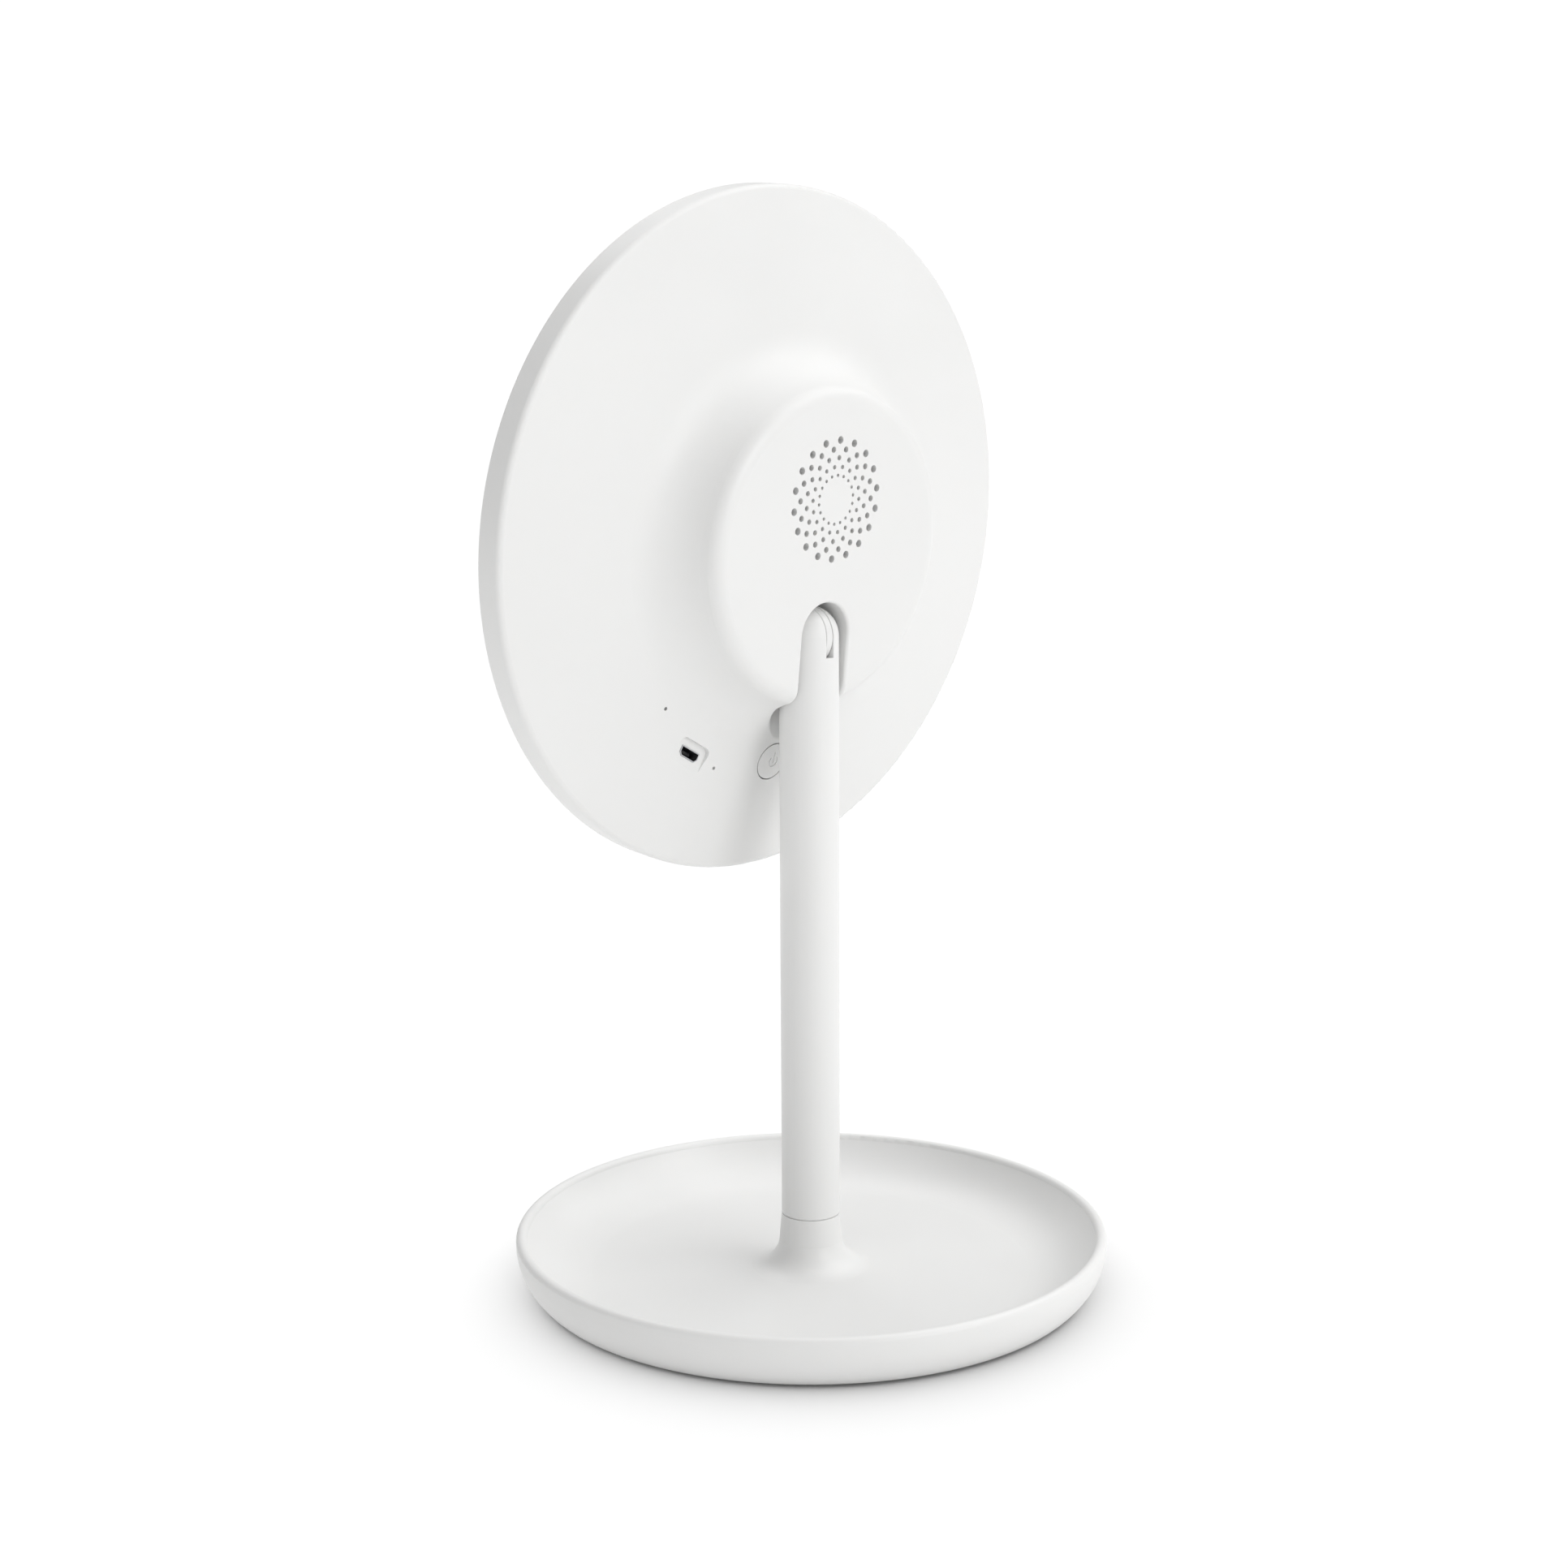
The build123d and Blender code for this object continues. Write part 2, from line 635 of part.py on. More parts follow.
with BuildPart() as button_flange:
    with BuildSketch(at(0, 0, BUTTON_W)):
        Circle(BUTTON_FLANGE_R)
    extrude(amount=HUB_OFF)
    with BuildSketch(head_section):
        with BuildLine():
            Polyline(
                (BOARD_IN, cone(BOARD_IN) - WALL - BUTTON_SKIRT),
                (BOARD_OUT, cone(BOARD_OUT) - WALL - BUTTON_SKIRT),
                (BOARD_OUT, cone(BOARD_OUT) - WALL - FLANGE_GAP),
                (BOARD_IN, cone(BOARD_IN) - WALL - FLANGE_GAP),
                close=True,
            )
        make_face()
    revolve(axis=head_axis, mode=Mode.INTERSECT)

with BuildPart() as power_button:
    add(button_cap.part)
    add(button_flange.part)
finish(power_button, "power_button")

with BuildPart() as switch_plunger:
    with BuildSketch(at(PLUNGER_OFF, 0, BUTTON_W)):
        Circle(PLUNGER_R)
    extrude(until=Until.NEXT, target=power_button.part)
finish(switch_plunger, "switch_plunger")

# ======================================= front ==========================================
with BuildPart() as front_frame:
    with BuildSketch(head_section):
        with BuildLine():
            Polyline(
                (0, FRAME_TOP - FRAME_T),
                (FRAME_WALL_R, FRAME_TOP - FRAME_T),
                (FRAME_WALL_R, RING_OFF + RING_T),
                (FRAME_WALL_R + FRAME_WALL, RING_OFF + RING_T),
                (FRAME_WALL_R + FRAME_WALL, SHELF_OFF),
                (FRAME_R - FRAME_WALL, SHELF_OFF),
                (FRAME_R - FRAME_WALL, RING_OFF + RING_T),
                (FRAME_R, RING_OFF + RING_T),
                (FRAME_R, SHELF_OFF + SHELF_T),
                (FRAME_WALL_R, SHELF_OFF + SHELF_T),
                (FRAME_WALL_R, FRAME_TOP),
                (0, FRAME_TOP),
                close=True,
            )
        make_face()
    revolve(axis=head_axis)
    with BuildSketch(at(FRAME_TOP)):
        with Locations(*frame_points):
            Circle(TAP_R)
        with Locations(TOUCH_UW):
            Circle(TOUCH_R + 0.3)
    extrude(amount=-2 * FRAME_T, mode=Mode.SUBTRACT)
    with BuildSketch(at(FRAME_TOP - FRAME_T)):
        with Locations(*frame_points):
            Circle(FLAT_HEAD_R)
    extrude(amount=FLAT_HEAD_T, mode=Mode.SUBTRACT)
finish(front_frame, "front_frame")
screws("frame_screws", FRAME_TOP - FRAME_T + FLAT_HEAD_T, frame_points, TAP_R, 6.0,
       FLAT_HEAD_R, FLAT_HEAD_T)

with BuildPart() as mirror_glass:
    with BuildSketch(at(MIRROR_OFF)):
        Circle(MIRROR_R)
    extrude(amount=MIRROR_T)
    chamfer(mirror_glass.edges().filter_by(GeomType.CIRCLE), 0.3)
finish(mirror_glass, "mirror_glass")

with BuildPart() as light_ring:
    with BuildSketch(at(RING_OFF)):
        Circle(RING_OUT)
        Circle(RING_IN, mode=Mode.SUBTRACT)
    extrude(amount=RING_T)
finish(light_ring, "light_ring")

with BuildPart() as led_board:
    with BuildSketch(at(SHELF_OFF - LED_BOARD_T)):
        Circle(LED_R + LED_BOARD_W / 2)
        Circle(LED_R - LED_BOARD_W / 2, mode=Mode.SUBTRACT)
    extrude(amount=LED_BOARD_T)
finish(led_board, "led_board")

with BuildPart() as leds:
    with BuildSketch(at(SHELF_OFF - LED_BOARD_T)):
        with PolarLocations(LED_R, LED_N):
            Rectangle(2.8, 3.5)
    extrude(amount=-LED_T)
finish(leds, "leds")

# ======================================= speaker ========================================
with BuildPart() as speaker_cloth:
    with BuildSketch(at(HUB_OFF - WALL - CLOTH_T, 0, SPEAKER_W)):
        Circle(SPEAKER_R)
    extrude(amount=CLOTH_T)
finish(speaker_cloth, "speaker_cloth")

with BuildPart() as speaker_gasket:
    with BuildSketch(at(SPEAKER_SEAT + CLAMP_T, 0, SPEAKER_W)):
        Circle(SPEAKER_R)
        Circle(SPEAKER_R - 2.4, mode=Mode.SUBTRACT)
    extrude(amount=HUB_OFF - WALL - CLOTH_T - SPEAKER_SEAT - CLAMP_T)
finish(speaker_gasket, "speaker_gasket")

with BuildPart() as speaker_basket:
    with BuildSketch(speaker_section):
        with BuildLine():
            Polyline(
                (SPEAKER_R, SPEAKER_SEAT + CLAMP_T),
                (16.5, SPEAKER_SEAT + CLAMP_T),
                (11.5, BASKET_OFF + 1.0),
                (6.0, BASKET_OFF + 1.0),
                (6.0, BASKET_OFF),
                (12.5, BASKET_OFF),
                (17.0, SPEAKER_SEAT),
                (SPEAKER_R, SPEAKER_SEAT),
                close=True,
            )
        make_face()
    revolve(axis=speaker_axis)
finish(speaker_basket, "speaker_basket")

with BuildPart() as speaker_cone:
    # paper cone and dust cap in one skin, from the axis out to the surround
    with BuildSketch(speaker_section):
        with BuildLine():
            Polyline(
                (0, 20.6),
                (2.5, 20.6),
                (6.2, 19.3),
                (14.2, 22.9),
                (15.4, 23.1),
                (15.4, 22.6),
                (14.4, 22.4),
                (6.2, 18.7),
                (2.5, 20.1),
                (0, 20.1),
                close=True,
            )
        make_face()
    revolve(axis=speaker_axis)
finish(speaker_cone, "speaker_cone")

with BuildPart() as speaker_magnet:
    with BuildSketch(at(BASKET_OFF - MAGNET_T, 0, SPEAKER_W)):
        Circle(12.0)
    extrude(amount=MAGNET_T)
    chamfer(speaker_magnet.edges().filter_by(GeomType.CIRCLE), 0.6)
finish(speaker_magnet, "speaker_magnet")

with BuildPart() as speaker_clamp:
    with BuildSketch(at(SPEAKER_SEAT - CLAMP_T, 0, SPEAKER_W)):
        RectangleRounded(SPEAKER_PITCH + 6.0, SPEAKER_PITCH + 6.0, 3.0)
        Circle(17.3, mode=Mode.SUBTRACT)
        with GridLocations(SPEAKER_PITCH, SPEAKER_PITCH, 2, 2):
            Circle(SMALL_TAP_R, mode=Mode.SUBTRACT)
    extrude(amount=CLAMP_T)
finish(speaker_clamp, "speaker_clamp")
screws("speaker_screws", SPEAKER_SEAT - CLAMP_T, speaker_points, SMALL_TAP_R, 3.6, 2.0, 1.3)

# ======================================= electronics ====================================
with BuildPart() as battery:
    with BuildSketch(at(FRAME_TOP, 0, BATTERY_W)):
        RectangleRounded(BATTERY_SIZE[0], BATTERY_SIZE[1], 3.0)
    extrude(amount=BATTERY_SIZE[2])
    fillet(battery.edges().filter_by(Axis(rim_centre, head.x_dir)), 2.0)
finish(battery, "battery")

with BuildPart() as main_board:
    with BuildSketch(at(BOARD_OFF)):
        Circle(BOARD_OUT)
        Circle(BOARD_IN, mode=Mode.SUBTRACT)
        with BuildLine():
            Polyline(
                (0, 0),
                *ring_of(2 * BOARD_OUT, (BOARD_FROM, (BOARD_FROM + BOARD_TO) / 2, BOARD_TO)),
                close=True,
            )
        make_face(mode=Mode.INTERSECT)
        with Locations(*board_points):
            Circle(SMALL_TAP_R, mode=Mode.SUBTRACT)
    extrude(amount=BOARD_T)
finish(main_board, "main_board")
screws("board_screws", BOARD_OFF, board_points, SMALL_TAP_R, BOARD_T + 3.0, 2.0, 1.2)

with BuildPart() as board_chips:
    for r, angle, size in CHIPS:
        with BuildSketch(at(BOARD_TOP, *from_foot(r, angle), -angle)):
            Rectangle(*size)
        extrude(amount=1.2)
finish(board_chips, "board_chips")

port_uw = from_foot(PORT_R, PORT_TURN)
with BuildPart() as usb_shell:
    with BuildSketch(at(BOARD_TOP, *port_uw, -PORT_TURN)):
        Polygon(*socket_outline(0), align=None)
        Polygon(*socket_outline(-USB_WALL), align=None, mode=Mode.SUBTRACT)
    extrude(amount=PORT_FLOOR + 0.2 - BOARD_TOP)
finish(usb_shell, "usb_shell")

with BuildPart() as usb_tongue:
    with BuildSketch(at(BOARD_TOP, *port_uw, -PORT_TURN)):
        Polygon(*socket_outline(-USB_WALL - USB_PLAY), align=None)
    extrude(amount=USB_BASE_T)
    with BuildSketch(at(BOARD_TOP, *port_uw, -PORT_TURN)):
        Rectangle(USB_BLADE_W, USB_BLADE_T)
    extrude(amount=USB_BLADE_H)
finish(usb_tongue, "usb_tongue")

with BuildPart() as tact_switch:
    with BuildSketch(at(BOARD_TOP, 0, BUTTON_W)):
        RectangleRounded(6.0, 6.0, 0.5)
    extrude(amount=SWITCH_T)
    with BuildSketch(at(BOARD_TOP + SWITCH_T, 0, BUTTON_W)):
        Circle(PLUNGER_R + 0.3)
    extrude(amount=-(SWITCH_T - 0.3), mode=Mode.SUBTRACT)
finish(tact_switch, "tact_switch")

with BuildPart() as charge_light_pipe:
    with BuildSketch(at(BOARD_TOP, *LAMP_UW)):
        Circle(PIN_HOLE_D / 2)
    extrude(amount=cone(Vector(*LAMP_UW).length) - 0.3 - BOARD_TOP)
    with BuildSketch(at(BOARD_TOP, *LAMP_UW)):
        Circle(1.6)
    extrude(amount=3.0)
finish(charge_light_pipe, "charge_light_pipe")

with BuildPart() as microphone:
    with BuildSketch(at(BOARD_TOP, *RESET_UW, -18.0)):
        RectangleRounded(3.8, 3.0, 0.3)
    extrude(amount=1.1)
finish(microphone, "microphone")

with BuildPart() as touch_pad:
    with BuildSketch(at(BOARD_OFF, *TOUCH_UW)):
        Circle(TOUCH_R)
    extrude(amount=-(BOARD_OFF - FRAME_TOP + FRAME_T))
finish(touch_pad, "touch_pad")
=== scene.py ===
"""Looks of a lighted vanity mirror on a tray base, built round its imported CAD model.

Everything is in metres in the row frame: +Z up, the mirror faces -Y and the moulded back +Y.
"""

from __future__ import annotations

import json
import logging
import math
from dataclasses import dataclass
from enum import Enum

import bmesh
import bpy
from mathutils import Matrix, Vector


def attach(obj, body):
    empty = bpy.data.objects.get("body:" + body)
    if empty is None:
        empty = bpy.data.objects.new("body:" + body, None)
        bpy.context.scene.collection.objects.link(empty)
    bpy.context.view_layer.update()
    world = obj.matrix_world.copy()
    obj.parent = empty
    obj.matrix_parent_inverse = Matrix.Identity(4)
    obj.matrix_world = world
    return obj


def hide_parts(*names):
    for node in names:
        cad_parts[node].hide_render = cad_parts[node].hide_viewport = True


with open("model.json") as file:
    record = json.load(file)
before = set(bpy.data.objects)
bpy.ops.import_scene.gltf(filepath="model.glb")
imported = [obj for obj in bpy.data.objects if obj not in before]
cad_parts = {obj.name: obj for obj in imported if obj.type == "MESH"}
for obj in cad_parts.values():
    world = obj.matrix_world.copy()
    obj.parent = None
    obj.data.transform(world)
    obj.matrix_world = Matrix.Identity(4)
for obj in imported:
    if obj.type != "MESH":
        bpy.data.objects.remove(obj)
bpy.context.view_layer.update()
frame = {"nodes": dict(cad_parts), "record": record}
SLOTS: dict[str, str] = {
    part["node"]: part["material_slot"] for part in frame["record"]["subparts"]
}

MM = 0.001
WHITE = (1, 1, 1, 1)
# Colour and roughness drift over patches about this wide.
DRIFT_MM = 40.0
# The drift noise keeps mostly between these two values.
DRIFT_LOW, DRIFT_HIGH = 0.3, 0.7
# Dividing a wave texture's scale by this makes one wave span two threads, one over, one under.
WAVE_SPAN = 6.3
# Brushing pulls the grain out along X by the inverse of this.
BRUSH_PULL = 0.04
# Share of the light that goes under the surface of a resin, and its colour in there.
SCATTER_SHARE = 0.3
SCATTER_TINT = (1.0, 0.95, 0.9)

log = logging.getLogger("vanity_mirror")


# ---- colour and node helpers -------------------------------------------------------------


def linear(hex_code: str) -> tuple[float, float, float, float]:
    """Turn an sRGB hex colour to the linear values that a shader takes.

    Args:
        hex_code: six hex digits, with or without a leading #.

    Returns:
        Red, green, blue and an alpha of 1.
    """
    digits = hex_code.lstrip("#")
    values = [int(digits[i : i + 2], 16) / 255 for i in (0, 2, 4)]
    curve = [v / 12.92 if v <= 0.04045 else ((v + 0.055) / 1.055) ** 2.4 for v in values]
    return (curve[0], curve[1], curve[2], 1.0)


def add_node(
    tree: bpy.types.NodeTree,
    kind: str,
    settings: dict[str, object] | None = None,
    inputs: dict[str | int, object] | None = None,
) -> bpy.types.Node:
    """Add one node, set its properties, and set or link its inputs.

    Args:
        tree: the node tree to add to.
        kind: the node's type name.
        settings: property names and values.
        inputs: socket names or numbers, each with a value or an output socket to link from.

    Returns:
        The new node.
    """
    node = tree.nodes.new(kind)
    for name, value in (settings or {}).items():
        setattr(node, name, value)
    for name, value in (inputs or {}).items():
        if isinstance(value, bpy.types.NodeSocket):
            tree.links.new(value, node.inputs[name])
        else:
            node.inputs[name].default_value = value
    return node


# ---- finishes ----------------------------------------------------------------------------


class Surface(Enum):
    """How a surface was made, which sets the pattern that it carries."""

    MOULDED = "moulded"
    BRUSHED = "brushed"
    WOVEN = "woven"
    PRESSED = "pressed"


@dataclass(frozen=True)
class Finish:
    """One real material with the surface that its making left.

    Attributes:
        name: material name.
        slot: the material slot that it fills.
        base: main colour, sRGB hex.
        tone: second colour that the first drifts to.
        surface: how the surface was made.
        grain_mm: size of the pattern.
        depth_mm: height of the relief.
        roughness: mean roughness.
        spread: how far roughness drifts.
        metallic: 1 for bare metal.
        ior: index of refraction, for what is not metal.
        scatter_mm: how far light travels inside, 0 for none.
        clear: share of light let through.
    """

    name: str
    slot: str
    base: str
    tone: str
    surface: Surface = Surface.MOULDED
    grain_mm: float = 0.35
    depth_mm: float = 0.01
    roughness: float = 0.45
    spread: float = 0.06
    metallic: float = 0.0
    ior: float = 1.5
    scatter_mm: float = 0.0
    clear: float = 0.0

    def build(self) -> bpy.types.Material:
        """Make the material, or return it if it was made before.

        Returns:
            The finished node material.
        """
        made = bpy.data.materials.get(self.name)
        if made:
            return made
        material = bpy.data.materials.new(self.name)
        material.use_nodes = True
        tree = material.node_tree
        tree.nodes.clear()
        place = add_node(tree, "ShaderNodeTexCoord").outputs["Object"]
        pattern = self._pattern(tree, place)
        drift = add_node(
            tree,
            "ShaderNodeTexNoise",
            inputs={"Vector": place, "Scale": 1 / (DRIFT_MM * MM), "Detail": 3.0},
        ).outputs["Fac"]
        colour = add_node(
            tree,
            "ShaderNodeMix",
            {"data_type": "RGBA"},
            {0: drift, 6: linear(self.base), 7: linear(self.tone)},
        ).outputs[2]
        rough = add_node(
            tree,
            "ShaderNodeMapRange",
            inputs={
                "Value": drift,
                "From Min": DRIFT_LOW,
                "From Max": DRIFT_HIGH,
                "To Min": self.roughness - self.spread,
                "To Max": self.roughness + self.spread,
            },
        ).outputs[0]
        relief = add_node(
            tree,
            "ShaderNodeBump",
            inputs={"Height": pattern, "Strength": 1.0, "Distance": self.depth_mm * MM},
        ).outputs[0]
        shader = add_node(
            tree,
            "ShaderNodeBsdfPrincipled",
            {},
            {
                "Base Color": colour,
                "Roughness": rough,
                "Normal": relief,
                "Metallic": self.metallic,
            },
        )
        if self.metallic < 1:
            shader.inputs["IOR"].default_value = self.ior
        if self.scatter_mm:
            shader.inputs["Subsurface Weight"].default_value = SCATTER_SHARE
            shader.inputs["Subsurface Radius"].default_value = SCATTER_TINT
            shader.inputs["Subsurface Scale"].default_value = self.scatter_mm * MM
        if self.clear:
            shader.inputs["Transmission Weight"].default_value = self.clear
        add_node(tree, "ShaderNodeOutputMaterial", {}, {"Surface": shader.outputs[0]})
        return material

    def _pattern(
        self, tree: bpy.types.NodeTree, place: bpy.types.NodeSocket
    ) -> bpy.types.NodeSocket:
        """Add the height pattern that this surface carries.

        Args:
            tree: the material's tree.
            place: the coordinates to lay it out in.

        Returns:
            The socket with the height.
        """
        scale = 1 / (self.grain_mm * MM)
        if self.surface is Surface.BRUSHED:
            stretched = add_node(
                tree,
                "ShaderNodeMapping",
                inputs={"Vector": place, "Scale": (BRUSH_PULL, 1.0, 1.0)},
            ).outputs[0]
            return add_node(
                tree,
                "ShaderNodeTexNoise",
                inputs={"Vector": stretched, "Scale": scale, "Detail": 4.0},
            ).outputs["Fac"]
        if self.surface is Surface.WOVEN:
            waves = [
                add_node(
                    tree,
                    "ShaderNodeTexWave",
                    {"bands_direction": direction},
                    {"Vector": place, "Scale": scale / WAVE_SPAN},
                ).outputs["Fac"]
                for direction in ("X", "Z")
            ]
            return add_node(
                tree, "ShaderNodeMath", {"operation": "MULTIPLY"}, {0: waves[0], 1: waves[1]}
            ).outputs[0]
        if self.surface is Surface.PRESSED:
            return add_node(
                tree, "ShaderNodeTexVoronoi", inputs={"Vector": place, "Scale": scale}
            ).outputs["Distance"]
        return add_node(
            tree, "ShaderNodeTexNoise", inputs={"Vector": place, "Scale": scale, "Detail": 2.0}
        ).outputs["Fac"]


# Injection-moulded ABS from a fine spark-eroded tool: even, neutral white with a soft satin.
# The tool's grit is nearer 0.1 mm; it is drawn three times as coarse, or it would not show.
WHITE_ABS = Finish("white_abs_spark_textured", "white_abs", "#E6E6E5", "#E9E9E8", grain_mm=0.3,
                   depth_mm=0.004, roughness=0.42, ior=1.54, scatter_mm=0.5)
# Powder coat on die-cast zinc, matched to the shell: the same white, a little glossier.
WHITE_ZINC = Finish("zinc_white_powder_coat", "white_painted_zinc", "#E4E4E3", "#E8E8E7",
                    grain_mm=0.5, depth_mm=0.003, roughness=0.38, ior=1.5)
# Inner mouldings in the same resin, from a plain tool: a shade darker and duller.
FRAME_ABS = Finish("white_abs_inner_frame", "frame_abs", "#DAD9D6", "#DEDDDA", roughness=0.55)
# Pressed silicone sheet: mid grey, dull and faintly pebbled so that it grips.
SILICONE = Finish("silicone_foot", "foot_silicone", "#9A9A99", "#A4A4A3", Surface.PRESSED,
                  grain_mm=1.2, depth_mm=0.03, roughness=0.7, ior=1.41)
# Sheet steel as rolled, with fine lines along the roll.
SHEET_STEEL = Finish("steel_sheet_rolled", "weight_steel", "#8F9094", "#9C9DA0", Surface.BRUSHED,
                     roughness=0.4, metallic=1.0)
# Bright zinc plate on cold-formed screws: cool and smooth.
ZINC_PLATE = Finish("steel_zinc_plated", "screw_steel", "#C2C4C8", "#CFD0D2", roughness=0.28,
                    metallic=1.0)
# Free-cutting brass, turned: warm, with fine tool lines.
TURNED_BRASS = Finish("brass_turned", "brass_insert", "#C9A558", "#D5B36A", Surface.BRUSHED,
                      roughness=0.3, metallic=1.0)
# Deep-drawn steel, pickled: grey and slightly matt.
DRAWN_STEEL = Finish("steel_pressed", "bracket_steel", "#9C9DA1", "#A8A9AC", roughness=0.42,
                     metallic=1.0)
# Cast acrylic with an opal filler: milky, lets light spread inside, satin face.
OPAL_ACRYLIC = Finish("acrylic_opal_satin", "opal_acrylic", "#F1F1EE", "#F5F5F2", grain_mm=0.6,
                      depth_mm=0.003, roughness=0.35, ior=1.49, scatter_mm=4.0)
# Glass-epoxy laminate under green solder mask.
LAMINATE = Finish("glass_epoxy_green_mask", "circuit_board", "#17452A", "#1E5433", Surface.WOVEN,
                  grain_mm=0.5, depth_mm=0.01, roughness=0.3, ior=1.55)
# Yellow phosphor in clear silicone, as a white light source looks when it is off.
PHOSPHOR = Finish("phosphor_silicone", "led_phosphor", "#E9D98A", "#F0E39E", roughness=0.4)
# Knitted polyester mesh over the speaker: grey, open weave.
SPEAKER_MESH = Finish("polyester_speaker_mesh", "speaker_cloth", "#7C7C7E", "#8A8A8C",
                      Surface.WOVEN, grain_mm=0.45, depth_mm=0.12, roughness=0.85)
# Closed-cell polyethylene foam: near black, cellular.
FOAM = Finish("polyethylene_foam", "foam", "#2C2C2E", "#36363A", Surface.PRESSED, grain_mm=0.6,
              depth_mm=0.08, roughness=0.9)
# Pressed paper pulp, dyed: black, fibrous.
PULP = Finish("paper_pulp_pressed", "paper_cone", "#17171A", "#222226", grain_mm=0.8,
              depth_mm=0.03, roughness=0.85)
# Sintered ferrite: charcoal, slightly porous.
FERRITE = Finish("ferrite_sintered", "magnet", "#2B2B2E", "#38383B", Surface.PRESSED,
                 roughness=0.6)
# Aluminium laminate pouch: silver, softly dimpled by the heat seal.
POUCH = Finish("aluminium_laminate_pouch", "battery_foil", "#B9BBC0", "#C6C8CC", Surface.PRESSED,
               grain_mm=1.5, depth_mm=0.05, roughness=0.35, metallic=1.0)
# Black epoxy moulding compound round the chips.
CHIP_RESIN = Finish("epoxy_moulding_compound", "chip_resin", "#141416", "#1C1C1F", roughness=0.6)
# Tinned brass sheet of the socket's shell: pale, soft sheen.
TINNED = Finish("tinned_sheet", "socket_tin", "#B9BABD", "#C8C9CB", Surface.BRUSHED,
                roughness=0.32, metallic=1.0)
# Glass-filled polymer in the socket: black, dull.
SOCKET_POLYMER = Finish("liquid_crystal_polymer_black", "socket_black", "#0E0E10", "#17171A",
                        roughness=0.5)
# Nylon switch body: black.
NYLON = Finish("nylon_black", "switch_plastic", "#1B1B1D", "#242427", roughness=0.5)
# Polished polycarbonate light pipe: clear, it looks pale grey down its bore.
POLYCARBONATE = Finish("polycarbonate_clear", "clear_pipe", "#D9DBDC", "#E2E4E5", depth_mm=0.001,
                       roughness=0.15, ior=1.58, clear=0.8)
# Back-silvered float glass: a near-perfect mirror, the cool tint comes from the glass.
SILVERED_GLASS = Finish("float_glass_silvered", "silvered_glass", "#ECEFEF", "#F0F2F2",
                        depth_mm=0.0002, grain_mm=60.0, roughness=0.02, spread=0.005, metallic=1.0)

FINISHES: tuple[Finish, ...] = (
    WHITE_ABS, WHITE_ZINC, FRAME_ABS, SILICONE, SHEET_STEEL, ZINC_PLATE, TURNED_BRASS, DRAWN_STEEL,
    OPAL_ACRYLIC, LAMINATE, PHOSPHOR, SPEAKER_MESH, FOAM, PULP, FERRITE, POUCH, CHIP_RESIN, TINNED,
    SOCKET_POLYMER, NYLON, POLYCARBONATE, SILVERED_GLASS,
)  # fmt: skip


def dress(node: str) -> bpy.types.Object:
    """Give a CAD node the finish for its material slot.

    Args:
        node: the CAD node's name.

    Returns:
        The node's object.
    """
    finish = next(item for item in FINISHES if item.slot == SLOTS[node])
    piece = frame["nodes"][node]
    piece.data.materials.clear()
    piece.data.materials.append(finish.build())
    log.info("dressed %s as %s", node, finish.name)
    return piece


# ---- sub-assemblies ----------------------------------------------------------------------


@dataclass(frozen=True)
class SubAssembly:
    """CAD nodes that are made and fitted together.

    Attributes:
        nodes: the CAD nodes in it, from the outside in.
    """

    nodes: tuple[str, ...]

    def build(self) -> None:
        """Dress each of its nodes."""
        for node in self.nodes:
            dress(node)


@dataclass(frozen=True)
class Base(SubAssembly):
    """Round tray on a weighted, gripping foot."""

    nodes: tuple[str, ...] = ("tray", "foot_pad", "base_weight")


@dataclass(frozen=True)
class Stand(SubAssembly):
    """Post that the base carries, and the hinge that the head tilts on."""

    nodes: tuple[str, ...] = (
        "post", "post_anchor", "post_washer", "post_screw", "hinge_screw", "hinge_nut",
        "hinge_plugs", "hinge_tongue", "hinge_bracket", "bracket_screws",
    )  # fmt: skip


@dataclass(frozen=True)
class Housing(SubAssembly):
    """Moulded back with its button, and the frame that closes it."""

    nodes: tuple[str, ...] = (
        "rear_shell", "power_button", "switch_plunger", "front_frame", "frame_screws",
    )  # fmt: skip


@dataclass(frozen=True)
class Face(SubAssembly):
    """Mirror glass inside its ring of light."""

    nodes: tuple[str, ...] = ("mirror_glass", "light_ring", "led_board", "leds", "touch_pad")


@dataclass(frozen=True)
class Electronics(SubAssembly):
    """Board, battery, socket and sensors inside the head."""

    nodes: tuple[str, ...] = (
        "battery", "main_board", "board_screws", "board_chips", "usb_shell", "usb_tongue",
        "tact_switch", "charge_light_pipe", "microphone",
    )  # fmt: skip


